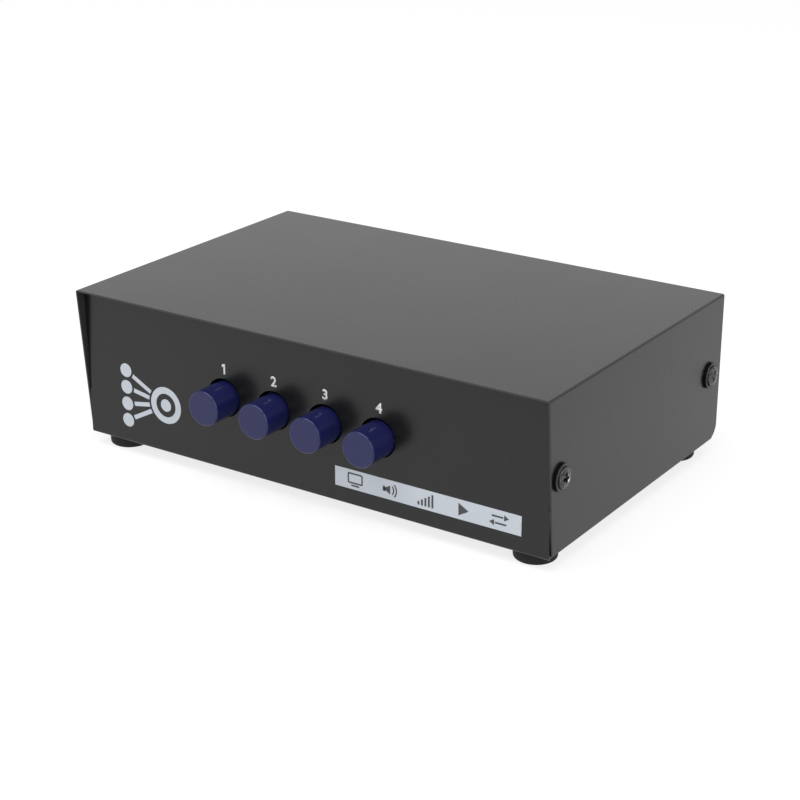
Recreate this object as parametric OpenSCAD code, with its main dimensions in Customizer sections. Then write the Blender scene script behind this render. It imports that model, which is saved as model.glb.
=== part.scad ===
// Four-way audio and video selector switch: a folded steel case with four push buttons in front
// and five columns of phono jacks at the back.
// The origin lies under the middle of the whole object, on the surface that it stands on.
// +X runs to the right as seen from the front, +Y to the back and +Z up. Sizes are millimetres.

/* [Case] */
// Width across the two sides of the cover
case_w = 158; // [150:1:220]
// Depth of the cover, from its front edge to its rear edge
case_d = 101.5; // [98:0.5:160]
// Height of the cover, from the lower edge of its sides to its top face
case_h = 44; // [44:0.5:70]
// Thickness of the steel sheet
sheet = 0.5; // [0.4:0.1:1.2]
// Inside radius of every bend in the sheet
bend_r = 0.15; // [0.1:0.05:1]
// How far the cover stands out in front of the front panel
hood = 2.9; // [1:0.1:5]
// How far the cover runs past the rear panel
rear_lip = 1; // [0.5:0.1:3]
// How far the front edge of each cover side slants back at its foot
side_slant = 3.6; // [0.5:0.1:4.5]
// Radius of the lower rear corner of each cover side
side_corner_r = 4; // [1:0.5:8]
// How far the chassis floor hangs below the cover sides
floor_drop = 1.2; // [0.6:0.1:2]
// How far the side edges of the floor lie inside the ends of the panels
floor_inset = 0.4; // [0:0.1:1]
// Gap between the chassis and the cover, at the sides and at the top
cover_gap = 0.1; // [0.05:0.05:0.4]
// Sheet left on the side flanges of the front and rear panels beyond the cover screws
flange_margin = 5; // [4:0.5:8]
// Height of the side flanges, which stand about the cover screws
flange_h = 16; // [12:0.5:20]
// Height of the slit above and below each side flange
flange_relief = 0.15; // [0.1:0.05:2]
// Depth of the foot of the rear panel, which is welded on the floor
rear_foot_d = 5; // [4:0.1:6]

/* [Cover screws] */
// Distance of the cover screws from the front and rear edges of the cover
screw_inset = 7; // [6.5:0.1:12]
// Height of the cover screws above the lower edge of the cover sides
screw_z = 21.1; // [12:0.1:32]
// Thread diameter of the cover, foot and board screws
screw_d = 3; // [2.5:0.1:3.5]
// Length of the cover screws under the head
cover_screw_l = 6; // [5:0.5:10]
// Diameter of the countersunk heads of the cover screws
oval_d = 6; // [5:0.1:6.4]
// Height of the dome on the countersunk heads
oval_dome = 0.45; // [0.2:0.05:1]
// Height of the straight edge below the dome
oval_edge = 0.4; // [0.1:0.05:0.6]
// Diameter of the cup washers under the cover screws
washer_d = 8; // [7:0.1:10]
// Height of the cup washers
washer_t = 0.9; // [0.6:0.1:1.6]
// How far the wall of the cup washers leans in towards its lip
washer_taper = 0.1; // [0.05:0.05:0.5]
// How far the rim of each countersunk head lies below the lip of its washer
oval_sink = 0.1; // [0.05:0.05:0.2]
// Diameter of the domed heads of the foot and board screws
head_d = 5.8; // [5:0.1:6.4]
// Height of the domed heads of the foot and board screws
head_h = 2.2; // [1.8:0.1:2.6]
// Radial gap between a thread and the hole that it is cut in
thread_gap = 0.05; // [0.02:0.01:0.1]
// Radial gap between a thread and a hole that it passes through
pass_gap = 0.2; // [0.1:0.05:0.4]

/* [Feet] */
// Diameter of the rubber feet
foot_d = 12; // [11:0.5:20]
// Height of the rubber feet
foot_h = 3.8; // [3.8:0.1:10]
// Radius of the lower edge of the feet
foot_round = 1; // [0.4:0.1:1.5]
// Distance of the foot centres from the cover sides
foot_side_inset = 8.8; // [8:0.1:20]
// Distance of the front foot centres from the front edge of the cover
foot_front_inset = 10.4; // [9:0.1:12]
// Distance of the rear foot centres from the rear edge of the cover
foot_rear_inset = 9.5; // [8:0.1:12]
// Length of the foot screws under the head
foot_screw_l = 6; // [5:0.5:8]
// Rubber left under the head of each foot screw
foot_web = 1.2; // [1:0.1:1.6]
// Radial gap round the head of each foot screw
foot_recess_gap = 0.3; // [0.2:0.1:0.6]

/* [Buttons] */
// Distance between neighbouring buttons
button_pitch = 17.5; // [15:0.1:20]
// Middle of the row of buttons, counted from the middle of the case
bank_x = -1; // [-8:0.5:8]
// Height of the button axes above the lower edge of the cover sides
button_z = 20.5; // [18:0.1:24]
// Diameter of the button caps
button_d = 10.3; // [9:0.1:11.5]
// How far the caps stand out of the front panel when they are not pressed
button_out = 9.4; // [8:0.1:14]
// How far the caps reach in behind the face of the front panel
button_in = 3; // [2:0.1:4]
// Width of the bevel round the face of each cap
button_edge = 0.35; // [0.1:0.05:0.8]
// How far a button travels when it is pressed
button_travel = 5.5; // [4:0.1:6]
// Radial gap between a cap and its hole in the front panel
hole_gap = 0.6; // [0.3:0.1:1.2]
// Share of that gap by which the holes sit above the middles of the caps
hole_rise = 0.5; // [0:0.05:0.8]

/* [Switch bank] */
// Width of the square shaft of each plunger
shaft_w = 3.3; // [2.8:0.1:3.6]
// Length of shaft inside the cap
socket_l = 8; // [5:0.5:9]
// Gap between the shaft and its socket, and between other pieces pushed together
seat_gap = 0.02; // [0.01:0.01:0.05]
// Diameter of the collar on the plunger that the return spring pushes on
collar_d = 8.6; // [7.6:0.1:9]
// Thickness of that collar
collar_t = 1; // [0.8:0.1:1.5]
// Depth of the switch frame behind the face of the front panel
frame_set = 17; // [16:0.5:20]
// Thickness of the switch frame
frame_t = 0.8; // [0.6:0.1:1.2]
// Depth of the ears at the two ends of the switch frame
ear_l = 18; // [15:0.5:22]
// Width of one switch body
body_w = 10; // [9.4:0.1:13]
// Depth of one switch body
body_l = 28; // [27:0.5:32]
// Height of one switch body
body_h = 9; // [8.4:0.1:11]
// Thickness of the rear wall of a switch body
body_wall = 1.2; // [0.8:0.1:2]
// Width of the slider inside a switch body
slider_w = 6; // [5.4:0.1:6.6]
// Height of the slider inside a switch body
slider_h = 5; // [4.4:0.1:5.4]
// Gap between the slider and the walls of its body
slide_gap = 0.2; // [0.1:0.05:0.3]
// Gap at each end of the slider's travel
end_gap = 0.3; // [0.2:0.05:0.5]
// Width and length of the nub that the latch bar catches
nub_w = 1.6; // [1.2:0.1:1.8]
// Distance from the front of the slider to the middle of its nub
nub_set = 6; // [5.5:0.1:7]

/* [Latch] */
// Thickness of the latch bar
latch_t = 0.8; // [0.6:0.1:1.2]
// How far the latch bar slides
latch_travel = 1.5; // [1:0.1:1.8]
// Gap between the latch bar and what moves past it
latch_gap = 0.3; // [0.2:0.05:0.4]
// Width of metal left in front of and behind the slots in the latch bar
latch_margin = 1.5; // [1.2:0.1:2]
// Thickness of the hooks that hold the latch bar down
hook_t = 1; // [0.8:0.1:1.4]
// Width of the hooks along the latch bar
hook_w = 5; // [3:0.1:5.4]
// How far each hook reaches over the latch bar
hook_reach = 0.8; // [0.6:0.1:1]
// Length of the latch spring between the bar and the frame
latch_spring_l = 6.5; // [5:0.1:9]

/* [Springs] */
// Wire diameter of the return springs
return_wire = 0.6; // [0.5:0.05:0.8]
// Mean diameter of the return springs
return_coil_d = 6.6; // [6:0.1:7]
// Number of turns in each return spring
return_turns = 6; // [4:1:7]
// Wire diameter of the latch spring
latch_wire = 0.4; // [0.3:0.05:0.5]
// Mean diameter of the latch spring
latch_coil_d = 3.2; // [2.6:0.1:3.6]
// Number of turns in the latch spring
latch_turns = 5; // [3:1:6]

/* [Boards] */
// Thickness of the two circuit boards
board_t = 1.6; // [1:0.1:2]
// Board left between a spacer and the edges of the board
board_edge = 1; // [0.5:0.1:2]
// Gap between the heads of the board screws and the switch frame
board_gap = 0.5; // [0.3:0.1:1]
// Board left behind the switch bodies, for the ribbon header
board_tail = 12; // [11:0.5:16]
// Width across the flats of the hexagonal board spacers
spacer_af = 5.5; // [5:0.1:6]
// Diameter of the spigot under each spacer
spigot_d = 4.2; // [3.6:0.1:4.6]
// Length of the board screws under the head
board_screw_l = 6; // [5:0.5:8]
// Width of a switch contact pin
pin_w = 0.6; // [0.5:0.05:0.8]
// Distance between neighbouring pins in a row
pin_pitch = 4.2; // [4:0.1:4.3]
// Distance between the two rows of pins
pin_row = 3.2; // [2.8:0.1:3.6]
// Width of a bridging contact
clip_w = 1.6; // [1.2:0.1:2]
// Thickness of a bridging contact
clip_t = 0.8; // [0.5:0.1:1]
// Plastic left in front of the first bridging contact
clip_edge = 0.4; // [0.3:0.1:0.6]
// Length of the tabs that hold the switch frame in the board
tab_l = 3; // [2:0.1:4]
// How far pins and tails stand out past a board
pin_out = 1.4; // [1:0.1:2]
// Gap between a pin and its hole in a board
pin_gap = 0.1; // [0.05:0.05:0.2]

/* [Rear jacks] */
// Distance of the outer columns of jacks from the sides of the cover
jack_edge_x = 25; // [18:0.5:30]
// Distance of the outer rows of jacks from the top and from the lower edges of the cover
jack_edge_z = 8; // [7.6:0.1:10]
// Outside diameter of the metal sleeve of a jack
sleeve_d = 8.3; // [8:0.05:8.6]
// Wall of the metal sleeve
sleeve_wall = 0.5; // [0.45:0.05:0.7]
// Depth of the neck where the sleeve passes through the coloured ring
sleeve_neck = 0.25; // [0.2:0.05:0.3]
// How far the sleeves stand out of the rear panel
sleeve_out = 10; // [8:0.5:14]
// How far the sleeves reach in behind the face of the rear panel
sleeve_in = 4.5; // [3:0.1:5]
// Diameter of the hole in a jack that takes the pin of a plug
jack_bore_d = 3.3; // [3.2:0.05:3.6]
// How far the coloured core stays back from the end of the sleeve
core_back = 0.5; // [0.2:0.1:1]
// Width of the bevel at the mouth of the hole
mouth = 0.3; // [0.1:0.05:0.5]
// Diameter of the coloured ring round the foot of the sleeve
ring_d = 9.8; // [9.6:0.1:10.4]
// How far the coloured ring stands out of the rear panel
ring_out = 2; // [1:0.1:3]
// How far the coloured core reaches in behind the face of the rear panel
core_in = 6; // [5.5:0.1:7]
// Wall of the inner contact tube
contact_wall = 0.5; // [0.3:0.05:0.6]
// How far the inner contact tube stays back from the end of the core
contact_back = 6.5; // [5:0.1:7]
// Depth of the black jack housings
block_d = 11; // [9:0.5:14]
// Wall of the black jack housings round the coloured rings
block_wall = 1.6; // [1.2:0.1:1.6]
// Width of the ear beside each jack housing, which takes its screw
block_ear = 6; // [4.5:0.1:7]
// Width of the solder tails
tail_w = 0.8; // [0.6:0.05:1]
// Radial gap between a coloured ring and its hole in the rear panel
ring_gap = 0.15; // [0.05:0.05:0.3]
// Thread diameter of the jack screws
jack_screw_d = 2.4; // [2:0.1:2.6]
// Length of the jack screws under the head
jack_screw_l = 7; // [5:0.5:9]
// Diameter of the heads of the jack screws
jack_head_d = 3.9; // [3.4:0.1:4]
// Height of the heads of the jack screws
jack_head_h = 1.5; // [1.2:0.1:2]

/* [Ribbon] */
// Width of the ribbon cable
ribbon_w = 25.4; // [15:0.1:30]
// Thickness of the ribbon cable
ribbon_t = 0.9; // [0.6:0.1:1.2]
// Inside radius of the bend in the ribbon cable
ribbon_r = 5; // [3:0.5:5.5]
// Length of each ribbon header along the ribbon
header_l = 6; // [5:0.5:7]
// How far each ribbon header stands off its board
header_h = 7; // [6:0.5:8]
// Height of the ribbon's middle above each board, inside its header
ribbon_lift = 2.5; // [2.4:0.1:3.5]
// Width of each ribbon header beyond the edges of the ribbon
header_side = 2; // [1:0.1:4]
// Board left behind the ribbon header on the switch board
header_back = 2; // [1:0.1:3]

/* [Hidden] */
$fn = 64;
cut = 1;
stations = 4;
columns = 5;
station_list = [1:stations];
column_list = [1:columns];
row_list = [-1, 0, 1];

// Case: y counts from the front edge of the cover and z from the lower edge of its sides
bend_o = bend_r + sheet;
panel_y = hood;
rear_y = case_d - rear_lip;
floor_z = -floor_drop;
floor_top = floor_z + sheet;
chassis_w = case_w - 2 * (sheet + cover_gap);
panel_top = case_h - sheet - cover_gap;
rear_foot_z = floor_top + seat_gap;
panel_half = chassis_w / 2 - bend_o;
front_flange_d = screw_inset - hood + flange_margin;
rear_flange_d = screw_inset - rear_lip + flange_margin;
foot_x = case_w / 2 - foot_side_inset;
foot_front_y = foot_front_inset;
foot_rear_y = case_d - foot_rear_inset;

// Place of the case in the object's own frame
mid_y = (panel_y - button_out + rear_y + sleeve_out) / 2;
ground_z = foot_h + floor_drop;

// Switch bank, from the front to the back
frame_y = panel_y + frame_set;
body_y = frame_y + frame_t;
slider_y = body_y + end_gap;
slider_l = body_l - body_wall - button_travel - 2 * end_gap;
cavity_w = slider_w + 2 * slide_gap;
cavity_h = slider_h + 2 * slide_gap;
bank_left = station_x(1) - body_w / 2;
bank_right = station_x(stations) + body_w / 2;
body_top = button_z + body_h / 2;
board_top = button_z - body_h / 2;
cavity_floor = button_z - cavity_h / 2;
nub_y = slider_y + nub_set;

// Latch bar and its slots
latch_lift = slide_gap / 2;
latch_z = body_top + latch_lift;
latch_top = latch_z + latch_t;
slot_half = nub_w / 2 + latch_gap;
latch_y0 = nub_y - slot_half - latch_margin;
latch_y1 = nub_y + button_travel + slot_half + latch_margin;
latch_mid_y = (latch_y0 + latch_y1) / 2;
latch_left = bank_left - latch_t;
spring_seat_w = latch_coil_d + 2 * latch_wire;
latch_axis_z = latch_top + spring_seat_w / 2;
ear_left = latch_left - latch_spring_l - frame_t;

// Contacts: two rows of six pins to a body, in groups of three
clip_lead = button_travel - pin_pitch + pin_w / 2;
clip_l = clip_lead + pin_pitch + pin_w / 2;
clip_lift = slide_gap / 2;
pin_y = slider_y + clip_edge + clip_lead;

// Switch board
spacer_inset = spacer_af / 2 + board_edge;
board_margin = spacer_inset + head_d / 2 + board_gap;
board_x0 = ear_left - board_margin;
board_x1 = bank_right + frame_t + board_margin;
board_y0 = frame_y - board_margin;
board_y1 = body_y + body_l + board_tail;
spacer_h = board_top - board_t - floor_top;

// Jacks: depths count from the face of the rear panel, and run outwards
jack_pitch_x = (case_w - 2 * jack_edge_x) / (columns - 1);
jack_pitch_z = case_h / 2 - jack_edge_z;
jack_mid_z = case_h / 2;
sleeve_r = sleeve_d / 2;
neck_r = sleeve_r - sleeve_neck;
core_r = sleeve_r - sleeve_wall;
ring_r = ring_d / 2;
bore_r = jack_bore_d / 2;
contact_r = bore_r + contact_wall;
core_out = sleeve_out - core_back;
contact_out = core_out - contact_back;
block_w = 2 * (ring_r + block_wall);
block_h = 2 * (jack_pitch_z + ring_r + block_wall);
block_back = sheet + block_d;
tail_end = block_back + board_t + pin_out;
ear_x = (block_w + block_ear) / 2;
jack_board_w = (columns - 1) * jack_pitch_x + block_w + board_margin;
jack_board_y = rear_y - block_back - board_t;

// Ribbon, from the switch board back to the jack board
ribbon_z = board_top + ribbon_lift;
ribbon_y = jack_board_y - ribbon_lift;
header_w = ribbon_w + 2 * header_side;
header_y = board_y1 - header_l - header_back;
header_z = jack_mid_z + (jack_pitch_z - sleeve_r - header_l) / 2;

function station_x(i) = bank_x + (i - (stations + 1) / 2) * button_pitch;
function column_x(i) = (i - (columns + 1) / 2) * jack_pitch_x;
function pin_ys() = [for (k = [0:5]) pin_y + k * pin_pitch];

// Stands the case on its feet, with the origin under the middle of the object
module place() {
    translate([0, -mid_y, ground_z]) children();
}

// A quarter bend of sheet about Z, from +X round to +Y
module bend(length) {
    rotate_extrude(angle = 90) translate([bend_r, 0]) square([sheet, length]);
}

// A block between two opposite corners
module block(a, b) {
    translate(a) cube(b - a);
}

// Points a piece along +Y, from a point
module backwards(p) {
    translate(p) rotate([-90, 0, 0]) children();
}

// A domed screw with a cross recess: the head stands on z = 0 and the thread hangs below
module pan_screw(d, l, hd, hh) {
    rim = 0.4 * hh;
    slot_w = hd / 7;
    slot_l = hd / 1.8;
    slot_h = hh / 2;
    translate([0, 0, -l]) cylinder(d = d, h = l + rim / 2);
    difference() {
        union() {
            cylinder(d = hd, h = rim);
            translate([0, 0, rim]) dome(hd, hh - rim);
        }
        for (turn = [0, 90]) rotate(turn)
            translate([-slot_l / 2, -slot_w / 2, hh - slot_h]) cube([slot_l, slot_w, slot_h + cut]);
    }
}

// A countersunk screw with a low dome and a cross recess: its cone rises from z = 0
module oval_screw() {
    seat_h = washer_t - oval_sink;
    slot_w = oval_d / 6.5;
    slot_l = oval_d / 1.8;
    slot_z = seat_h / 2;
    slot_h = washer_t + oval_edge + oval_dome;
    difference() {
        union() {
            translate([0, 0, -cover_screw_l]) cylinder(d = screw_d, h = cover_screw_l);
            cylinder(d1 = screw_d, d2 = oval_d, h = seat_h);
            translate([0, 0, seat_h]) cylinder(d = oval_d, h = oval_edge);
            translate([0, 0, seat_h + oval_edge]) dome(oval_d, oval_dome);
        }
        for (turn = [0, 90]) rotate(turn)
            translate([-slot_l / 2, -slot_w / 2, slot_z]) cube([slot_l, slot_w, slot_h]);
    }
}

// A cap of a ball on z = 0
module dome(d, h) {
    r = (d * d / 4 + h * h) / (2 * h);
    intersection() {
        cylinder(d = d, h = h);
        translate([0, 0, h - r]) sphere(r);
    }
}

// An unbroken helical wire about Z, from z = 0 up to its length
module coil(mean_d, wire, length, turns) {
    sides = 6;
    steps = 8 * turns;
    rise = length - wire;
    rings = [for (s = [0:steps]) let (a = 360 * turns * s / steps, z = wire / 2 + rise * s / steps)
        for (k = [0:sides - 1]) let (b = 360 * k / sides, r = (mean_d + wire * cos(b)) / 2)
            [r * cos(a), r * sin(a), z + wire / 2 * sin(b)]];
    last = steps * sides;
    walls = [for (s = [0:steps - 1], k = [0:sides - 1])
        let (a = s * sides + k, b = s * sides + (k + 1) % sides)
            each [[a, b, b + sides], [a, b + sides, a + sides]]];
    ends = [for (k = [1:sides - 2]) each [[0, k + 1, k], [last, last + k, last + k + 1]]];
    polyhedron(points = rings, faces = concat(walls, ends));
}

// Each cover screw's place: on the face of a cover side, pointing outwards
module at_cover_screws() {
    for (side = [0, 1], y = [screw_inset, case_d - screw_inset])
        mirror([side, 0, 0]) translate([case_w / 2, y, screw_z]) rotate([0, 90, 0]) children();
}

// Each foot's centre, on the underside of the floor
module at_feet() {
    for (x = [-foot_x, foot_x], y = [foot_front_y, foot_rear_y])
        translate([x, y, floor_z]) children();
}

// Each board spacer's centre, on the top of the floor
module at_spacers() {
    for (x = [board_x0 + spacer_inset, board_x1 - spacer_inset])
        for (y = [board_y0 + spacer_inset, board_y1 - spacer_inset])
            translate([x, y, floor_top]) children();
}

// Each jack of one row, pointing out of the rear panel, with its own +Y facing down
module at_jacks(row) {
    for (i = column_list) backwards([column_x(i), rear_y, jack_mid_z + row * jack_pitch_z]) children();
}

// Each jack screw's place, in the ear beside the middle jack of a column
module at_jack_screws() {
    at_jacks(0) translate([-ear_x, 0, 0]) children();
}

// Outline of a cover side, with y to the right and z up
module cover_side() {
    top = case_h - bend_o;
    r = side_corner_r;
    polygon([[0, top], [side_slant, 0], [case_d - r, 0], [case_d, r], [case_d, top]]);
    translate([case_d - r, r]) circle(r);
}

// One upright panel with a bend along its foot and a flange at each side, its face at y = 0
module upright_panel(foot_z, flange_d) {
    panel_z = foot_z + bend_o;
    flange_z = screw_z - flange_h / 2;
    difference() {
        block([-chassis_w / 2, 0, panel_z], [chassis_w / 2, sheet, panel_top]);
        for (side = [0, 1]) mirror([side, 0, 0])
            block([panel_half, -cut, flange_z - flange_relief],
                [chassis_w / 2 + cut, sheet + cut, flange_z + flange_h + flange_relief]);
    }
    translate([-chassis_w / 2, bend_o, panel_z]) rotate([0, 90, 0]) rotate(-90) bend(chassis_w);
    for (side = [0, 1]) mirror([side, 0, 0]) {
        translate([panel_half, bend_o, flange_z]) rotate(-90) bend(flange_h);
        block([chassis_w / 2 - sheet, bend_o, flange_z], [chassis_w / 2, flange_d, flange_z + flange_h]);
    }
}

// Steel floor, with the front panel welded to its front edge and the rear panel on its top
module floor_plate() place() color("#29292b") difference() {
    half = chassis_w / 2 - floor_inset;
    block([-half, panel_y + bend_o + seat_gap, floor_z], [half, rear_y, floor_top]);
    at_feet() translate([0, 0, -cut]) cylinder(d = screw_d + 2 * thread_gap, h = sheet + 2 * cut);
    at_spacers() translate([0, 0, -sheet - cut]) cylinder(d = spigot_d + 2 * seat_gap, h = sheet + 2 * cut);
}

// Folded steel front panel, punched for the buttons
module front_panel() place() color("#29292b") difference() {
    translate([0, panel_y, 0]) upright_panel(floor_z, front_flange_d);
    for (i = station_list) backwards([station_x(i), panel_y - cut, button_z + hole_rise * hole_gap])
        cylinder(d = button_d + 2 * hole_gap, h = sheet + 2 * cut);
    flange_holes();
}

// Folded steel rear panel, punched for the jacks, with a foot that is welded on the floor
module rear_panel() place() color("#29292b") difference() {
    translate([0, rear_y, 0]) mirror([0, 1, 0]) {
        upright_panel(rear_foot_z, rear_flange_d);
        block([-chassis_w / 2, bend_o, rear_foot_z], [chassis_w / 2, rear_foot_d, rear_foot_z + sheet]);
    }
    for (row = row_list) at_jacks(row) translate([0, 0, -sheet - cut])
        cylinder(r = ring_r + ring_gap, h = sheet + 2 * cut);
    at_jack_screws() translate([0, 0, -sheet - cut])
        cylinder(d = jack_screw_d + 2 * pass_gap, h = sheet + 2 * cut);
    flange_holes();
}

// The holes in the side flanges that the cover screws cut their thread in
module flange_holes() {
    depth = 2 * sheet + cover_gap + cut;
    at_cover_screws() translate([0, 0, -depth]) cylinder(d = screw_d + 2 * thread_gap, h = depth);
}

// Folded steel cover: the top and the two sides
module top_cover() place() color("#323234") difference() {
    union() {
        block([bend_o - case_w / 2, 0, case_h - sheet], [case_w / 2 - bend_o, case_d, case_h]);
        for (side = [0, 1]) mirror([side, 0, 0]) {
            translate([case_w / 2 - bend_o, case_d, case_h - bend_o]) rotate([90, 0, 0]) bend(case_d);
            translate([case_w / 2 - sheet, 0, 0])
                rotate([90, 0, 90]) linear_extrude(sheet) cover_side();
        }
    }
    at_cover_screws() translate([0, 0, -sheet - cut])
        cylinder(d = screw_d + 2 * pass_gap, h = sheet + 2 * cut);
}

module cover_screws() place() color("#3a3a3c") at_cover_screws() oval_screw();

// Cup washers that the countersunk heads sink into
module cover_washers() place() color("#1c1c1d") at_cover_screws() {
    seat_h = washer_t - oval_sink;
    foot_r = screw_d / 2 + seat_gap;
    seat_r = oval_d / 2 + seat_gap;
    rotate_extrude() polygon([
        [foot_r, 0], [washer_d / 2, 0], [washer_d / 2 - washer_taper, washer_t],
        [seat_r, washer_t], [seat_r, seat_h]
    ]);
}

// Rubber foot with a rounded lower edge and a recess for its screw
module foot(x, y) place() color("#181818") translate([x, y, floor_z - foot_h]) difference() {
    rotate_extrude() {
        square([foot_d / 2 - foot_round, foot_h]);
        translate([0, foot_round]) square([foot_d / 2, foot_h - foot_round]);
        translate([foot_d / 2 - foot_round, foot_round]) circle(foot_round);
    }
    translate([0, 0, -cut]) cylinder(d = screw_d + 2 * pass_gap, h = foot_h + 2 * cut);
    translate([0, 0, -cut]) cylinder(d = head_d + 2 * foot_recess_gap, h = foot_h - foot_web + cut);
}

module foot_screws() place() color("#8a8a8c") {
    at_feet() translate([0, 0, -foot_web]) mirror([0, 0, 1]) pan_screw(screw_d, foot_screw_l, head_d, head_h);
}

// Moulded cap with a bevelled face and a square socket for its plunger
module button_cap(i) place() color("#20205a") difference() {
    backwards([station_x(i), panel_y - button_out, button_z]) {
        cylinder(d1 = button_d - 2 * button_edge, d2 = button_d, h = button_edge);
        translate([0, 0, button_edge]) cylinder(d = button_d, h = button_out + button_in - button_edge);
    }
    shaft_box(i, panel_y + button_in - socket_l - seat_gap, panel_y + button_in + cut, seat_gap);
}

// A square bar on a button's axis between two depths, with room left round the shaft
module shaft_box(i, y0, y1, room) {
    half = shaft_w / 2 + room;
    block([station_x(i) - half, y0, button_z - half], [station_x(i) + half, y1, button_z + half]);
}

// Plunger: shaft, spring collar, slider and the nub that the latch bar catches
module plunger(i) place() color("#d8d6cc") {
    x = station_x(i);
    difference() {
        union() {
            shaft_box(i, panel_y + button_in - socket_l, slider_y + cut, 0);
            backwards([x, panel_y + button_in, button_z]) cylinder(d = collar_d, h = collar_t);
            block([x - slider_w / 2, slider_y, button_z - slider_h / 2],
                [x + slider_w / 2, slider_y + slider_l, button_z + slider_h / 2]);
            block([x - nub_w / 2, nub_y - nub_w / 2, button_z],
                [x + nub_w / 2, nub_y + nub_w / 2, latch_top + latch_t / 2]);
        }
        clip_boxes(i, seat_gap);
    }
}

// The four bridging contacts in the underside of a slider, with room left round them
module clip_boxes(i, room) {
    ys = pin_ys();
    for (side = [-1, 1], k = [0, 3]) {
        x = station_x(i) + side * pin_row / 2;
        z = cavity_floor + clip_lift;
        block([x - clip_w / 2 - room, ys[k] - clip_lead - room, z - room],
            [x + clip_w / 2 + room, ys[k] - clip_lead + clip_l + room, z + clip_t + room]);
    }
}

module contact_clips(i) place() color("#c9b37a") clip_boxes(i, 0);

module return_spring(i) place() color("#b8babd") {
    y0 = panel_y + button_in + collar_t;
    backwards([station_x(i), y0 + end_gap / 2, button_z])
        coil(return_coil_d, return_wire, frame_y - y0 - end_gap, return_turns);
}

// Switch body: a box open at the front, with pin holes, a nub slot and the hooks over the latch bar
module switch_body(i) place() color("#2b2b2b") {
    x = station_x(i);
    room = nub_w / 2 + latch_gap;
    difference() {
        block([x - body_w / 2, body_y, board_top], [x + body_w / 2, body_y + body_l, body_top]);
        block([x - cavity_w / 2, body_y - cut, cavity_floor],
            [x + cavity_w / 2, body_y + body_l - body_wall, cavity_floor + cavity_h]);
        block([x - room, nub_y - room, button_z], [x + room, nub_y + button_travel + room, body_top + cut]);
        pin_boxes(i, cavity_floor + cut, board_top - cut, 0);
    }
    hook(x, latch_y0, 1);
    hook(x, latch_y1, -1);
}

// A hook beside one edge of the latch bar, reaching over it
module hook(x, y, reach) {
    half = hook_w / 2;
    top = latch_top + latch_gap + hook_t;
    translate([x, y, 0]) mirror([0, reach < 0 ? 1 : 0, 0]) {
        block([-half, -latch_gap - hook_t, body_top], [half, -latch_gap, top]);
        block([-half, -latch_gap, top - hook_t], [half, hook_reach, top]);
    }
}

// The twelve pins of one switch body between two heights, with room left round them
module pin_boxes(i, top, bottom, room) {
    half = pin_w / 2 + room;
    for (side = [-1, 1], y = pin_ys()) {
        x = station_x(i) + side * pin_row / 2;
        block([x - half, y - half, bottom], [x + half, y + half, top]);
    }
}

module switch_terminals() place() color("#cfcfd2") {
    for (i = station_list) pin_boxes(i, cavity_floor, board_top - board_t - pin_out, 0);
}

// Steel frame: a plate in front of the bodies, an ear at each end and tabs through the board
module switch_frame() place() color("#a9abad") difference() {
    union() {
        block([ear_left, frame_y, board_top], [bank_right + frame_t, body_y, body_top]);
        block([ear_left, frame_y, board_top],
            [ear_left + frame_t, frame_y + ear_l, latch_axis_z + spring_seat_w / 2]);
        block([bank_right, frame_y, board_top], [bank_right + frame_t, frame_y + ear_l, body_top]);
        frame_tabs(0);
    }
    for (i = station_list) shaft_box(i, frame_y - cut, body_y + cut, slide_gap);
}

// The tabs under the two ears of the frame, with room left round them
module frame_tabs(room) {
    for (x = [ear_left, bank_right])
        block([x - room, frame_y + ear_l / 2 - tab_l / 2 - room, board_top - board_t - pin_out],
            [x + frame_t + room, frame_y + ear_l / 2 + tab_l / 2 + room, board_top + room]);
}

// Latch bar: a strip with one toothed slot to a station and an upturned end for its spring
module latch_bar() place() color("#b5b7b9") difference() {
    union() {
        block([latch_left, latch_y0, latch_z], [bank_right, latch_y1, latch_top]);
        block([latch_left, latch_mid_y - spring_seat_w / 2, latch_z],
            [latch_left + latch_t, latch_mid_y + spring_seat_w / 2, latch_axis_z + spring_seat_w / 2]);
    }
    for (i = station_list) translate([station_x(i), nub_y, latch_z - cut])
        linear_extrude(latch_t + 2 * cut) latch_slot();
}

// Slot for one nub: a straight track, and a pocket at each end of it on the left
module latch_slot() {
    far = button_travel + slot_half;
    pocket = slot_half + latch_travel;
    polygon([
        [slot_half, -slot_half], [slot_half, far],
        [-pocket, far], [-pocket, far - 2 * slot_half], [-slot_half, far - 2 * slot_half],
        [-pocket, slot_half], [-pocket, -slot_half]
    ]);
}

module latch_spring() place() color("#b8babd") {
    translate([ear_left + frame_t + end_gap / 2, latch_mid_y, latch_axis_z]) rotate([0, 90, 0])
        coil(latch_coil_d, latch_wire, latch_spring_l - end_gap, latch_turns);
}

module switch_board() place() color("#7a5a2e") difference() {
    block([board_x0, board_y0, board_top - board_t], [board_x1, board_y1, board_top]);
    for (i = station_list) pin_boxes(i, board_top + cut, board_top - board_t - cut, pin_gap);
    frame_tabs(pin_gap);
    at_spacers() cylinder(d = screw_d + 2 * pass_gap, h = spacer_h + board_t + cut);
}

// Hexagonal spacers, each with a spigot pressed into the floor and a threaded hole
module board_spacers() place() color("#c3b078") at_spacers() difference() {
    union() {
        cylinder(d = spacer_af / cos(30), h = spacer_h, $fn = 6);
        translate([0, 0, -sheet]) cylinder(d = spigot_d, h = sheet + cut);
    }
    translate([0, 0, spacer_h - board_screw_l])
        cylinder(d = screw_d + 2 * thread_gap, h = board_screw_l + cut);
}

module board_screws() place() color("#b9bbbd") {
    at_spacers() translate([0, 0, spacer_h + board_t]) pan_screw(screw_d, board_screw_l, head_d, head_h);
}

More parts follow.
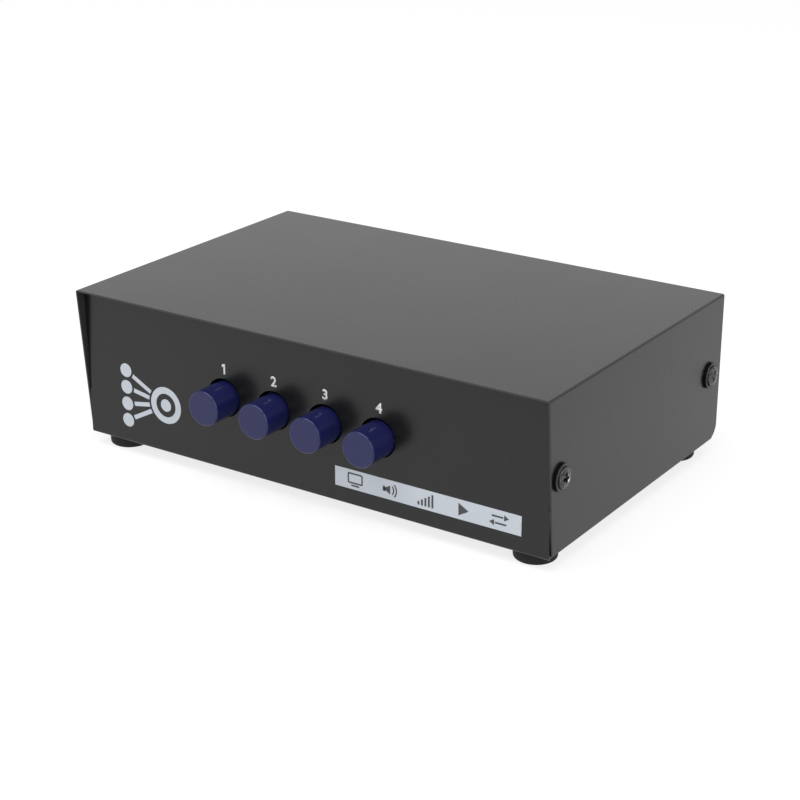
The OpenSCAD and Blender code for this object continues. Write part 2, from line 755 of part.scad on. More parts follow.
// Black housing of one column of jacks, with a pocket and tail holes to each jack and a screw ear
module jack_block(i) place() color("#1d1d1e") {
    x = column_x(i);
    front = rear_y - sheet;
    difference() {
        union() {
            block([x - block_w / 2, front - block_d, jack_mid_z - block_h / 2],
                [x + block_w / 2, front, jack_mid_z + block_h / 2]);
            block([x - block_w / 2 - block_ear, front - block_d, jack_mid_z - block_ear / 2],
                [x, front, jack_mid_z + block_ear / 2]);
        }
        for (row = row_list) backwards([x, rear_y, jack_mid_z + row * jack_pitch_z]) {
            translate([0, 0, -core_in - seat_gap]) cylinder(r = ring_r + seat_gap, h = core_in + cut);
            tails(seat_gap);
        }
        backwards([x - ear_x, rear_y, jack_mid_z]) translate([0, 0, -jack_screw_l - cut])
            cylinder(d = jack_screw_d + 2 * thread_gap, h = jack_screw_l + 2 * cut);
    }
}

// The two solder tails of a jack, running in from its parts, with room left round them
module tails(room) {
    half = tail_w / 2 + room;
    block([-half, -half, -tail_end - room], [half, half, -core_in + sheet]);
    block([-half, core_r - room, -tail_end - room], [half, neck_r + room, -sleeve_in]);
}

// Coloured plastic core of a jack, with a ring at its foot and a groove for the sleeve
module jack_insert() difference() {
    pocket_r = contact_r + seat_gap;
    groove_r = neck_r + seat_gap;
    rotate_extrude() polygon([
        [pocket_r, -core_in], [ring_r, -core_in], [ring_r, ring_out],
        [groove_r, ring_out], [groove_r, -sleeve_in], [core_r, -sleeve_in], [core_r, core_out],
        [bore_r + mouth, core_out], [bore_r, core_out - mouth], [bore_r, contact_out],
        [pocket_r, contact_out]
    ]);
    tails(seat_gap);
}

module video_jack_inserts() place() color("#e8c21a") at_jacks(1) jack_insert();

module left_jack_inserts() place() color("#ecebe6") at_jacks(0) jack_insert();

module right_jack_inserts() place() color("#b3181c") at_jacks(-1) jack_insert();

// Metal sleeve of every jack, with its solder tail
module jack_sleeves() place() color("#c9cacc") for (row = row_list) at_jacks(row) {
    bevel = sleeve_wall / 2;
    inner_r = core_r + seat_gap;
    foot = seat_gap - sleeve_in;
    shoulder = ring_out + seat_gap;
    rotate_extrude() polygon([
        [inner_r, foot], [neck_r, foot], [neck_r, shoulder], [sleeve_r, shoulder],
        [sleeve_r, sleeve_out - bevel], [sleeve_r - bevel, sleeve_out], [inner_r, sleeve_out]
    ]);
    block([-tail_w / 2, inner_r, -tail_end], [tail_w / 2, neck_r - seat_gap, sheet - sleeve_in]);
}

// Inner contact of every jack: a tube closed at its inner end, with its solder tail
module jack_contacts() place() color("#c8b06a") for (row = row_list) at_jacks(row) {
    translate([0, 0, -core_in]) difference() {
        cylinder(r = contact_r, h = core_in + contact_out - seat_gap);
        translate([0, 0, sheet]) cylinder(r = bore_r, h = core_in + contact_out);
    }
    block([-tail_w / 2, -tail_w / 2, -tail_end], [tail_w / 2, tail_w / 2, sheet - core_in]);
}

module jack_screws() place() color("#4a4a4c") {
    at_jack_screws() pan_screw(jack_screw_d, jack_screw_l, jack_head_d, jack_head_h);
}

module jack_board() place() color("#7a5a2e") difference() {
    block([-jack_board_w / 2, jack_board_y, jack_mid_z - block_h / 2],
        [jack_board_w / 2, jack_board_y + board_t, jack_mid_z + block_h / 2]);
    for (row = row_list) at_jacks(row) tails(pin_gap);
}

// The two headers that clamp the ends of the ribbon, one on each board
module ribbon_headers() place() color("#3b3d40") difference() {
    union() {
        block([bank_x - header_w / 2, header_y, board_top],
            [bank_x + header_w / 2, header_y + header_l, board_top + header_h]);
        block([bank_x - header_w / 2, jack_board_y - header_h, header_z],
            [bank_x + header_w / 2, jack_board_y, header_z + header_l]);
    }
    ribbon(seat_gap);
}

// Ribbon: level from the switch board, then one bend up to the jack board, with room round it
module ribbon(room) {
    half_w = ribbon_w / 2 + room;
    half_t = ribbon_t / 2 + room;
    turn_y = ribbon_y - ribbon_r;
    turn_z = ribbon_z + ribbon_r;
    block([bank_x - half_w, header_y - room, ribbon_z - half_t],
        [bank_x + half_w, turn_y, ribbon_z + half_t]);
    block([bank_x - half_w, ribbon_y - half_t, turn_z],
        [bank_x + half_w, ribbon_y + half_t, header_z + header_l + room]);
    translate([bank_x - half_w, turn_y, turn_z]) rotate([0, 90, 0])
        rotate_extrude(angle = 90) translate([ribbon_r - half_t, 0]) square([2 * half_t, 2 * half_w]);
}

module ribbon_cable() place() color("#9a9c9f") ribbon(0);

floor_plate();
front_panel();
rear_panel();
top_cover();
cover_screws();
cover_washers();
foot(-foot_x, foot_front_y);  // foot_front_left
foot(foot_x, foot_front_y);  // foot_front_right
foot(-foot_x, foot_rear_y);  // foot_rear_left
foot(foot_x, foot_rear_y);  // foot_rear_right
foot_screws();
for (i = station_list) {
    button_cap(i);
    plunger(i);
    contact_clips(i);
    return_spring(i);
    switch_body(i);
}
switch_frame();
latch_bar();
latch_spring();
switch_terminals();
switch_board();
board_spacers();
board_screws();
for (i = column_list) {
    jack_block(i);
}
video_jack_inserts();
left_jack_inserts();
right_jack_inserts();
jack_sleeves();
jack_contacts();
jack_screws();
jack_board();
ribbon_headers();
ribbon_cable();
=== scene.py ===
"""Four-way audio and video selector switch: its looks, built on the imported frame, in metres."""

from math import atan2, degrees, hypot, radians

import bmesh
import bpy
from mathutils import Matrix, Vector


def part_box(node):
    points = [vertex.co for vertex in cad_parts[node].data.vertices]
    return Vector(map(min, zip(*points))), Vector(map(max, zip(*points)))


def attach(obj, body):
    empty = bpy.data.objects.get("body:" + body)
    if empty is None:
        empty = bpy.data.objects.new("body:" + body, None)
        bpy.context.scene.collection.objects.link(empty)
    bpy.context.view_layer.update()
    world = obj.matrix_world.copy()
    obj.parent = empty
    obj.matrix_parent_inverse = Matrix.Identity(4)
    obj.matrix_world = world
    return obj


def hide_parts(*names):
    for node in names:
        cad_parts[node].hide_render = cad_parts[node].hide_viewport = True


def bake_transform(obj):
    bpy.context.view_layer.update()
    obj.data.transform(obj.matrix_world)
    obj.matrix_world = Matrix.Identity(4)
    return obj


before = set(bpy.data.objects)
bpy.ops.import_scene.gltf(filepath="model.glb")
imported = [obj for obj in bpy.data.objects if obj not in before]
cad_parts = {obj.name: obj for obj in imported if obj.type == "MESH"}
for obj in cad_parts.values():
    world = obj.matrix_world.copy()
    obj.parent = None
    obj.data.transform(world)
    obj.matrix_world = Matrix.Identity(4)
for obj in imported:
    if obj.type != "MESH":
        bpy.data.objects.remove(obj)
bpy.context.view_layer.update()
MM = 0.001


# CHASSIS
# A mild steel floor with a folded front panel and a folded rear panel welded to it. They are
# punched and folded first, then powder coated satin black, and the coat rounds every cut edge.
SHEETS = {"floor_sheet": "floor_plate", "button_panel": "front_panel", "jack_panel": "rear_panel"}
CUT_EDGE = 0.12 * MM
# A sheen is a roughness and an index of refraction, and a coat its darkest and its palest grey.
CHASSIS_SHEEN = (0.22, 1.44)
COAT_BLACK = (0.0035, 0.0065)
DUST_GREY = (0.16, 0.16, 0.155)
SPECK_CORE = 0.4
LOT_EDGE = 0.01
TOUCH = 0.002 * MM
FLAT_ANGLE = 0.2
# The colour sockets of a Mix node.
MIX_A, MIX_B, MIX_OUT = 6, 7, 2


def select_only(piece):
    if bpy.context.mode == "EDIT_MESH":
        bpy.ops.object.mode_set(mode="OBJECT")
    bpy.ops.object.select_all(action="DESELECT")
    piece.select_set(True)
    bpy.context.view_layer.objects.active = piece


def apply_modifier(piece, kind, **settings):
    modifier = piece.modifiers.new(kind, kind)
    for name, value in settings.items():
        setattr(modifier, name, value)
    select_only(piece)
    bpy.ops.object.modifier_apply(modifier=modifier.name)


def even_shading(piece, angle=40):
    """Smooths the curves of a piece and keeps its flat faces flat."""
    select_only(piece)
    bpy.ops.object.shade_smooth_by_angle(angle=radians(angle))
    apply_modifier(piece, "WEIGHTED_NORMAL", keep_sharp=True)


def merged_copy(name, node):
    """A piece that starts as a copy of a node's mesh, with its doubles merged and flat faces joined."""
    piece = bpy.data.objects.new(name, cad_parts[node].data.copy())
    bpy.context.scene.collection.objects.link(piece)
    select_only(piece)
    bpy.ops.mesh.customdata_custom_splitnormals_clear()
    bpy.ops.object.mode_set(mode="EDIT")
    bpy.ops.mesh.select_all(action="SELECT")
    bpy.ops.mesh.remove_doubles(threshold=TOUCH)
    bpy.ops.mesh.dissolve_limited(angle_limit=radians(FLAT_ANGLE))
    bpy.ops.object.mode_set(mode="OBJECT")
    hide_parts(node)
    return piece


def round_edges(piece, width, segments=2, angle=50):
    """Rounds every edge that is sharper than an angle. Loop slide would fold slivers into the sheets."""
    apply_modifier(piece, "BEVEL", width=width, segments=segments, limit_method="ANGLE",
                   angle_limit=radians(angle), use_clamp_overlap=True, loop_slide=False)
    even_shading(piece)


class Wire:
    """One value in a node tree. Arithmetic on it adds Math nodes, and node() adds any other node."""

    def __init__(self, tree, socket=None):
        self.tree = tree
        self.socket = socket

    def node(self, kind, settings=(), sockets=(), out=0):
        made = self.tree.nodes.new("ShaderNode" + kind)
        for name, value in dict(settings).items():
            setattr(made, name, value)
        for name, value in dict(sockets).items():
            if isinstance(value, Wire):
                self.tree.links.new(value.socket, made.inputs[name])
            else:
                made.inputs[name].default_value = value
        return Wire(self.tree, made.outputs[out])

    def math(self, operation, a, b=0.0):
        return self.node("Math", {"operation": operation}, {0: a, 1: b})

    def feed(self, shader, name):
        self.tree.links.new(self.socket, shader.inputs[name])

    def __add__(self, other):
        return self.math("ADD", self, other)

    def __radd__(self, other):
        return self.math("ADD", other, self)

    def __sub__(self, other):
        return self.math("SUBTRACT", self, other)

    def __rsub__(self, other):
        return self.math("SUBTRACT", other, self)

    def __mul__(self, other):
        return self.math("MULTIPLY", self, other)

    def __rmul__(self, other):
        return self.math("MULTIPLY", other, self)


def new_finish(name, **constants):
    """A material with its shader, and a Wire that carries Object coordinates."""
    material = bpy.data.materials.new(name)
    material.use_nodes = True
    shader = material.node_tree.nodes["Principled BSDF"]
    for socket, value in constants.items():
        shader.inputs[socket].default_value = value
    return material, shader, Wire(material.node_tree).node("TexCoord", out="Object")


def noise(place, size, detail=2.0, roughness=0.5):
    """Soft blotches of about the given size, from 0 to 1."""
    return place.node("TexNoise", {}, {"Vector": place, "Scale": 1 / size, "Detail": detail,
                                       "Roughness": roughness})


def step(value, low, high):
    """A smooth rise from 0 at low to 1 at high."""
    return value.node("MapRange", {"interpolation_type": "SMOOTHSTEP"},
                      {"Value": value, "From Min": low, "From Max": high})


def mix_colour(factor, a, b):
    """A blend from colour a to colour b, each of them a Wire or three numbers."""
    a, b = [colour if isinstance(colour, Wire) else (*colour, 1) for colour in (a, b)]
    return factor.node("Mix", {"data_type": "RGBA"}, {0: factor, MIX_A: a, MIX_B: b}, out=MIX_OUT)


def bump(shader, height, depth):
    height.node("Bump", {}, {"Height": height, "Distance": depth, "Strength": 1.0}).feed(shader, "Normal")


def specks(place, spacing, size, share):
    """Sparse round specks: a share of the cells of a grid holds one each."""
    cells = {"Vector": place, "Scale": 1 / spacing, "Randomness": 1.0}
    reach = place.node("TexVoronoi", {"feature": "F1"}, cells, out="Distance")
    lot = place.node("TexVoronoi", {"feature": "F1"}, cells, out="Color")
    kept = step(place.node("SeparateColor", {}, {"Color": lot}), 1 - share, 1 - share + LOT_EDGE)
    return kept * (1 - step(reach, SPECK_CORE * size / spacing, size / spacing))


def satin_black(name, roughness, index, dark, pale):
    """Black powder coat: fine orange peel, slow drifts of sheen and a little dust."""
    material, shader, place = new_finish(name, IOR=index)
    drift = noise(place, size=28 * MM, detail=3)
    grain = noise(place, size=0.35 * MM)
    peel = noise(place, size=1.3 * MM)
    dust = specks(place, spacing=5 * MM, size=0.15 * MM, share=0.22)
    coat = mix_colour(drift * 0.5 + grain * 0.5, (dark, dark, dark), (pale, pale, pale))
    mix_colour(dust * 0.4, coat, DUST_GREY).feed(shader, "Base Color")
    (roughness + drift * 0.06 + grain * 0.03 + dust * 0.2).feed(shader, "Roughness")
    bump(shader, peel * 0.7 + grain * 0.3 + dust, depth=0.006 * MM)
    return material


def dress(piece, material, body="case"):
    piece.data.materials.clear()
    piece.data.materials.append(material)
    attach(piece, body)


chassis_coat = satin_black("chassis_coat", *CHASSIS_SHEEN, *COAT_BLACK)
for name, node in SHEETS.items():
    sheet_piece = merged_copy(name, node)
    round_edges(sheet_piece, CUT_EDGE)
    dress(sheet_piece, chassis_coat)


# FEET
# Four moulded rubber discs under the corners of the floor, each with a rounded tread, a grip
# groove and a recess. A zinc plated pan-head screw in the recess holds it to the floor.
FOOT_R, FOOT_H = 6 * MM, 3.8 * MM
FOOT_ROUND = 1 * MM
FOOT_TOP_ROUND = 0.25 * MM
FOOT_HOLE_R = 1.7 * MM
FOOT_RECESS_R, FOOT_RECESS_H = 3.2 * MM, 2.6 * MM
FOOT_LINT = (0.2, 0.2, 0.19)
FOOT_SCREW_SPINS = {"front_left": 20, "front_right": 51, "rear_left": 82, "rear_right": 113}
GROOVE_OUT_R, GROOVE_IN_R, GROOVE_H = 4.6 * MM, 4.1 * MM, 0.35 * MM
SCREW_HEAD_R, SCREW_HEAD_H = 2.9 * MM, 2.2 * MM
SCREW_R, SCREW_L = 1.5 * MM, 6 * MM
SCREW_SIDES = 48
SCREW_TIP = 0.3
# Shares of a pan head's height, and for the arms of its recess of its radius.
PAN_DOME, PAN_SEAT = 0.62, 0.08
PAN_ARM_L, PAN_ARM_W = 0.84, 0.22
PAN_RECESS_D, PAN_RECESS_TAPER = 0.5, 0.5


def new_cylinder(name, radius, height, sides=64):
    """A cylinder that stands on the origin."""
    bpy.ops.object.select_all(action="DESELECT")
    bpy.ops.mesh.primitive_cylinder_add(vertices=sides, radius=radius, depth=height,
                                        location=(0, 0, height / 2))
    bpy.ops.object.transform_apply(location=True, rotation=True, scale=True)
    piece = bpy.context.object
    piece.name = name
    return piece


def pick(piece, kind, wanted):
    """Opens a piece in edit mode and selects the edges or faces that pass a test."""
    select_only(piece)
    bpy.ops.object.mode_set(mode="EDIT")
    bpy.ops.mesh.select_mode(type=kind)
    bpy.ops.mesh.select_all(action="DESELECT")
    mesh = bmesh.from_edit_mesh(piece.data)
    for part in mesh.edges if kind == "EDGE" else mesh.faces:
        if wanted(part):
            part.select_set(True)
    mesh.select_flush_mode()
    bmesh.update_edit_mesh(piece.data)


def at_level(height):
    """A test for what lies wholly at one height."""
    return lambda part: all(abs(corner.co.z - height) < TOUCH for corner in part.verts)


def in_ring(height, inner, outer):
    """A test for faces at one height with their middles between two distances from the axis."""
    def test(face):
        middle = face.calc_center_median()
        return abs(middle.z - height) < TOUCH and inner <= hypot(middle.x, middle.y) < outer
    return test


def rim_bevel(piece, height, width, segments):
    pick(piece, "EDGE", at_level(height))
    bpy.ops.mesh.bevel(offset=width, segments=segments, affect="EDGES")


def push(depth):
    """Extrudes what is selected along Z."""
    bpy.ops.mesh.extrude_region_move(TRANSFORM_OT_translate={"value": (0, 0, depth)})


def bridge_rims(piece):
    """Joins the two open rims of a piece into a hole through it."""
    pick(piece, "EDGE", lambda edge: edge.is_boundary)
    bpy.ops.mesh.bridge_edge_loops()


def copy_at(model, name, place, turn=(0, 0, 0), spin=0):
    """A copy with its own mesh: spun about Z, then turned, in degrees, and moved to its place."""
    piece = model.copy()
    piece.data = model.data.copy()
    piece.name = name
    bpy.context.scene.collection.objects.link(piece)
    select_only(piece)
    piece.rotation_euler = (0, 0, radians(spin))
    bpy.ops.object.transform_apply(location=True, rotation=True, scale=True)
    piece.rotation_euler = [radians(angle) for angle in turn]
    piece.location = place
    bpy.ops.object.transform_apply(location=True, rotation=True, scale=True)
    return piece


def new_block(length, width, height, middle_z=0, turn=0):
    """A box about a point on the Z axis, turned in degrees."""
    bpy.ops.object.mode_set(mode="OBJECT")
    bpy.ops.object.select_all(action="DESELECT")
    bpy.ops.mesh.primitive_cube_add(size=1, location=(0, 0, middle_z))
    block = bpy.context.object
    block.scale = (length, width, height)
    block.rotation_euler = (0, 0, radians(turn))
    bpy.ops.object.transform_apply(location=True, rotation=True, scale=True)
    return block


def cut(piece, tool):
    """Takes a tool's shape out of a piece, and then the tool away."""
    apply_modifier(piece, "BOOLEAN", operation="DIFFERENCE", solver="EXACT", object=tool)
    bpy.data.objects.remove(tool)


def cross_recess(screw, length, width, top, depth, taper):
    """Cuts a cross into a screw head. Its arms have their size at the top and narrow to a share of it."""
    spread = 2 / (1 + taper)
    for angle in (0, 90):
        blade = new_block(spread * length, spread * width, 2 * depth, top, angle)
        pick(blade, "FACE", at_level(top - depth))
        bpy.ops.transform.resize(value=(taper, taper, 1))
        bpy.ops.object.mode_set(mode="OBJECT")
        cut(screw, blade)
    even_shading(screw, 30)


def pan_screw(name, head_r, head_h, shank_r, shank_l):
    """A pan-head screw with a cross recess: its head stands on z = 0 and its shank hangs below."""
    screw = new_cylinder(name, head_r, head_h, SCREW_SIDES)
    rim_bevel(screw, head_h, PAN_DOME * head_h, 7)
    rim_bevel(screw, 0, PAN_SEAT * head_h, 2)
    pick(screw, "FACE", at_level(0))
    bpy.ops.mesh.inset(thickness=head_r - PAN_SEAT * head_h - shank_r)
    push(-shank_l)
    rim_bevel(screw, -shank_l, SCREW_TIP * shank_r, 1)
    cross_recess(screw, PAN_ARM_L * head_r, PAN_ARM_W * head_r, head_h,
                 PAN_RECESS_D * head_h, PAN_RECESS_TAPER)
    return screw


def black_rubber(name):
    """Moulded rubber: matt, faintly mottled, with a fine pitted skin and lint on it."""
    material, shader, place = new_finish(name, IOR=1.37)
    mottle = noise(place, size=2.5 * MM, detail=3)
    pits = noise(place, size=0.15 * MM)
    lint = specks(place, spacing=1.6 * MM, size=0.08 * MM, share=0.3)
    skin = mix_colour(mottle * 0.6 + pits * 0.4, (0.004, 0.004, 0.004), (0.009, 0.009, 0.009))
    mix_colour(lint * 0.25, skin, FOOT_LINT).feed(shader, "Base Color")
    (0.6 + mottle * 0.15 + pits * 0.1).feed(shader, "Roughness")
    bump(shader, pits + mottle * 0.5, depth=0.02 * MM)
    return material


def plated(name, dark, light, roughness):
    """Plated metal: a cloudy plate over fine drawing lines, with a few pinholes."""
    material, shader, place = new_finish(name, Metallic=1.0)
    cloud = noise(place, size=2.5 * MM, detail=3)
    drawn = place.node("Mapping", {}, {"Vector": place, "Scale": (1, 14, 14)})
    lines = noise(drawn, size=1.5 * MM)
    pinholes = specks(place, spacing=0.9 * MM, size=0.05 * MM, share=0.2)
    mix_colour(cloud * 0.5 + lines * 0.5, dark, light).feed(shader, "Base Color")
    (roughness + cloud * 0.1 + lines * 0.08 + pinholes * 0.2).feed(shader, "Roughness")
    bump(shader, lines * 0.5 + cloud * 0.5 - pinholes, depth=0.004 * MM)
    return material


rubber = black_rubber("foot_rubber")
zinc = plated("zinc_plate", dark=(0.5, 0.51, 0.52), light=(0.68, 0.69, 0.7), roughness=0.24)

foot_model = new_cylinder("foot_model", FOOT_R, FOOT_H)
rim_bevel(foot_model, 0, FOOT_ROUND, 6)
rim_bevel(foot_model, FOOT_H, FOOT_TOP_ROUND, 3)
pick(foot_model, "FACE", at_level(0))
bpy.ops.mesh.inset(thickness=FOOT_R - FOOT_ROUND - GROOVE_OUT_R)
bpy.ops.mesh.inset(thickness=GROOVE_OUT_R - GROOVE_IN_R)
bpy.ops.mesh.inset(thickness=GROOVE_IN_R - FOOT_RECESS_R)
push(FOOT_RECESS_H)
bpy.ops.mesh.inset(thickness=FOOT_RECESS_R - FOOT_HOLE_R)
bpy.ops.mesh.delete(type="FACE")
pick(foot_model, "FACE", in_ring(0, GROOVE_IN_R, GROOVE_OUT_R))
push(GROOVE_H)
pick(foot_model, "FACE", at_level(FOOT_H))
bpy.ops.mesh.inset(thickness=FOOT_R - FOOT_TOP_ROUND - FOOT_HOLE_R)
bpy.ops.mesh.delete(type="FACE")
bridge_rims(foot_model)
even_shading(foot_model, 35)

screw_model = pan_screw("screw_model", SCREW_HEAD_R, SCREW_HEAD_H, SCREW_R, SCREW_L)

for corner, spin in FOOT_SCREW_SPINS.items():
    lo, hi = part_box("foot_" + corner)
    middle = (lo + hi) / 2
    foot = copy_at(foot_model, "rubber_foot_" + corner, (middle.x, middle.y, lo.z))
    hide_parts("foot_" + corner)
    dress(foot, rubber)
    seat = (middle.x, middle.y, lo.z + FOOT_RECESS_H)
    foot_screw = copy_at(screw_model, "foot_screw_" + corner, seat, (180, 0, 0), spin)
    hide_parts("foot_screws")
    dress(foot_screw, zinc)
bpy.data.objects.remove(foot_model)


# SWITCH BOARD
# A brown phenolic board on four brass hexagon spacers that are pressed into the floor, held
# down by four zinc plated screws. It carries the switch bank and one end of the ribbon.
SPACER_EDGE = 0.08 * MM
SPACER_FLATS = 5.5 * MM
BOARD_SCREW_SPIN = 17


def phenolic(name):
    """Paper and resin board: brown, with long paper fibres and a waxy skin."""
    material, shader, place = new_finish(name)
    cloud = noise(place, size=7 * MM, detail=3)
    paper = place.node("Mapping", {}, {"Vector": place, "Scale": (0.25, 1, 1)})
    fibre = noise(paper, size=0.25 * MM, detail=3)
    brown = mix_colour(cloud * 0.4 + fibre * 0.6, (0.16, 0.075, 0.02), (0.34, 0.19, 0.07))
    brown.feed(shader, "Base Color")
    (0.36 + fibre * 0.14 + cloud * 0.06).feed(shader, "Roughness")
    bump(shader, fibre, depth=0.006 * MM)
    return material


def paint_node(node, material):
    """Gives a CAD node that stays as it is its finish."""
    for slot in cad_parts[node].material_slots:
        slot.material = material


board_brown = phenolic("board_phenolic")
brass = plated("contact_brass", dark=(0.62, 0.47, 0.2), light=(0.78, 0.62, 0.3), roughness=0.22)
paint_node("switch_board", board_brown)
spacers = merged_copy("hexagon_spacers", "board_spacers")
round_edges(spacers, SPACER_EDGE)
dress(spacers, brass)

board_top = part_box("switch_board")[1].z
spacer_lo, spacer_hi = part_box("board_spacers")
half_corners, half_flats = SPACER_FLATS / 3 ** 0.5, SPACER_FLATS / 2
spacer_axes = [(x, y) for x in (spacer_lo.x + half_corners, spacer_hi.x - half_corners)
               for y in (spacer_lo.y + half_flats, spacer_hi.y - half_flats)]
for number, (x, y) in enumerate(spacer_axes, 1):
    board_screw = copy_at(screw_model, f"board_screw_{number}", (x, y, board_top),
                          spin=BOARD_SCREW_SPIN * number)
    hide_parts("board_screws")
    dress(board_screw, zinc)


# SWITCH BANK
# Four moulded black switch bodies in a row behind a zinc plated steel frame. Their tinned
# terminals and the frame's tabs are soldered through the board.
STATIONS = (1, 2, 3, 4)
FRAME_EDGE = 0.06 * MM


def moulded(name, dark, light, roughness):
    """Moulded plastic: faint flow marks, a fine mould grain and slightly uneven gloss."""
    material, shader, place = new_finish(name)
    flow = noise(place, size=5 * MM)
    grain = noise(place, size=0.12 * MM)
    mix_colour(flow * 0.6 + grain * 0.4, dark, light).feed(shader, "Base Color")
    (roughness + flow * 0.07 + grain * 0.05).feed(shader, "Roughness")
    bump(shader, grain + flow, depth=0.004 * MM)
    return material


black_moulding = moulded("black_moulding", dark=(0.008, 0.008, 0.008), light=(0.016, 0.016, 0.016),
                         roughness=0.4)
for station in STATIONS:
    paint_node(f"switch_body_{station}", black_moulding)
bank_frame = merged_copy("bank_frame", "switch_frame")
round_edges(bank_frame, FRAME_EDGE)
dress(bank_frame, zinc)
paint_node("switch_terminals", zinc)


# PLUNGERS AND THEIR SPRINGS
# A natural plastic plunger runs through each body, with brass clips under its slider that
# bridge the terminals. A steel coil spring between its collar and the frame pushes it out.
PLUNGER_EDGE = 0.06 * MM
RETURN_R, RETURN_WIRE_R, RETURN_TURNS = 3.3 * MM, 0.3 * MM, 6
WIRE_SIDES = 10
STEPS_PER_TURN = 28


def coil_spring(name, mean_r, wire_r, length, turns):
    """A closed helix of round wire about Z, from z = 0 up to its length."""
    bpy.ops.object.select_all(action="DESELECT")
    bpy.ops.mesh.primitive_circle_add(vertices=WIRE_SIDES, radius=wire_r, location=(mean_r, 0, wire_r),
                                      rotation=(radians(90), 0, 0))
    bpy.ops.object.transform_apply(location=True, rotation=True, scale=True)
    spring = bpy.context.object
    spring.name = name
    apply_modifier(spring, "SCREW", axis="Z", angle=radians(360), iterations=turns,
                   screw_offset=(length - 2 * wire_r) / turns,
                   steps=STEPS_PER_TURN, render_steps=STEPS_PER_TURN)
    pick(spring, "EDGE", lambda edge: edge.is_boundary)
    bpy.ops.mesh.edge_face_add()
    bpy.ops.mesh.select_all(action="SELECT")
    bpy.ops.mesh.normals_make_consistent(inside=False)
    even_shading(spring, 60)
    return spring


natural_plastic = moulded("natural_plastic", dark=(0.6, 0.57, 0.47), light=(0.74, 0.71, 0.62),
                          roughness=0.34)
spring_steel = plated("spring_steel", dark=(0.48, 0.48, 0.5), light=(0.64, 0.64, 0.66), roughness=0.2)
for station in STATIONS:
    plunger = merged_copy(f"slider_plunger_{station}", f"plunger_{station}")
    round_edges(plunger, PLUNGER_EDGE)
    dress(plunger, natural_plastic, f"button_{station}")
    paint_node(f"contact_clips_{station}", brass)

lo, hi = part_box("return_spring_1")
return_model = coil_spring("return_model", RETURN_R, RETURN_WIRE_R, hi.y - lo.y, RETURN_TURNS)
for station in STATIONS:
    lo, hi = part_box(f"return_spring_{station}")
    cap_lo, cap_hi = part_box(f"button_cap_{station}")
    axis = (cap_lo + cap_hi) / 2
    front, rear = (axis.x, lo.y, axis.z), (axis.x, hi.y, axis.z)
    spring = copy_at(return_model, f"return_coil_{station}", front, (-90, 0, 0))
    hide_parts(f"return_spring_{station}")
    spring.data.materials.append(spring_steel)
    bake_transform(spring)
bpy.data.objects.remove(return_model)


# LATCH
# A zinc plated steel strip that slides across the top of the bodies. Its toothed slots catch the
# nub of the plunger that is pressed, and a small coil spring at its left end brings it back.
LATCH_EDGE = 0.06 * MM
LATCH_R, LATCH_WIRE_R, LATCH_TURNS = 1.6 * MM, 0.2 * MM, 5

latch_strip = merged_copy("latch_strip", "latch_bar")
round_edges(latch_strip, LATCH_EDGE)
dress(latch_strip, zinc, "latch")
lo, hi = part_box("latch_spring")
axis = (lo + hi) / 2
latch_model = coil_spring("latch_model", LATCH_R, LATCH_WIRE_R, hi.x - lo.x, LATCH_TURNS)
latch_coil = copy_at(latch_model, "latch_coil", (lo.x, axis.y, axis.z), (0, 90, 0))
bpy.data.objects.remove(latch_model)
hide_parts("latch_spring")
latch_coil.data.materials.append(spring_steel)
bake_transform(latch_coil)


# PHONO JACKS
# Five columns of three jacks: a black housing to a column, held behind the rear panel by one
# screw, with a coloured core, a nickel plated sleeve and a brass inner contact to each jack.
COLUMN_X = [-54 * MM, -27 * MM, 0, 27 * MM, 54 * MM]
CORE_FINISHES = {
    "video": ("yellow", (0.7, 0.43, 0.008), (0.82, 0.54, 0.02)),
    "left": ("white", (0.7, 0.7, 0.66), (0.8, 0.8, 0.77)),
    "right": ("red", (0.42, 0.006, 0.008), (0.54, 0.014, 0.016)),
}
CORE_ROUGHNESS = 0.24
HOUSING_EDGE = 0.2 * MM
JACK_HEAD_R, JACK_HEAD_H = 1.95 * MM, 1.5 * MM
JACK_SCREW_R, JACK_SCREW_L = 1.2 * MM, 7 * MM
JACK_SCREW_SIDE = 9.5 * MM
JACK_SCREW_SPIN = 23
REAR_FACE_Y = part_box("rear_panel")[1].y

nickel = plated("bright_nickel", dark=(0.58, 0.57, 0.55), light=(0.72, 0.71, 0.69), roughness=0.14)
dark_steel = plated("blackened_steel", dark=(0.06, 0.06, 0.062), light=(0.11, 0.11, 0.112),
                    roughness=0.26)
for row, (colour, dark, light) in CORE_FINISHES.items():
    cores = merged_copy(f"{colour}_cores", f"{row}_jack_inserts")
    even_shading(cores)
    dress(cores, moulded(f"{colour}_plastic", dark, light, CORE_ROUGHNESS))
sleeves = merged_copy("nickel_sleeves", "jack_sleeves")
even_shading(sleeves)
dress(sleeves, nickel)
paint_node("jack_contacts", brass)
paint_node("jack_board", board_brown)
jack_screw_model = pan_screw("jack_screw_model", JACK_HEAD_R, JACK_HEAD_H, JACK_SCREW_R, JACK_SCREW_L)
block_lo, block_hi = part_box("jack_block_1")
for number, x in enumerate(COLUMN_X, 1):
    housing = merged_copy(f"jack_housing_{number}", f"jack_block_{number}")
    round_edges(housing, HOUSING_EDGE)
    dress(housing, black_moulding)
    seat = (x - JACK_SCREW_SIDE, REAR_FACE_Y, (block_lo.z + block_hi.z) / 2)
    spin = JACK_SCREW_SPIN * number
    jack_screw = copy_at(jack_screw_model, f"jack_screw_{number}", seat, (-90, 0, 0), spin)
    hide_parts("jack_screws")
    dress(jack_screw, dark_steel)
bpy.data.objects.remove(jack_screw_model)


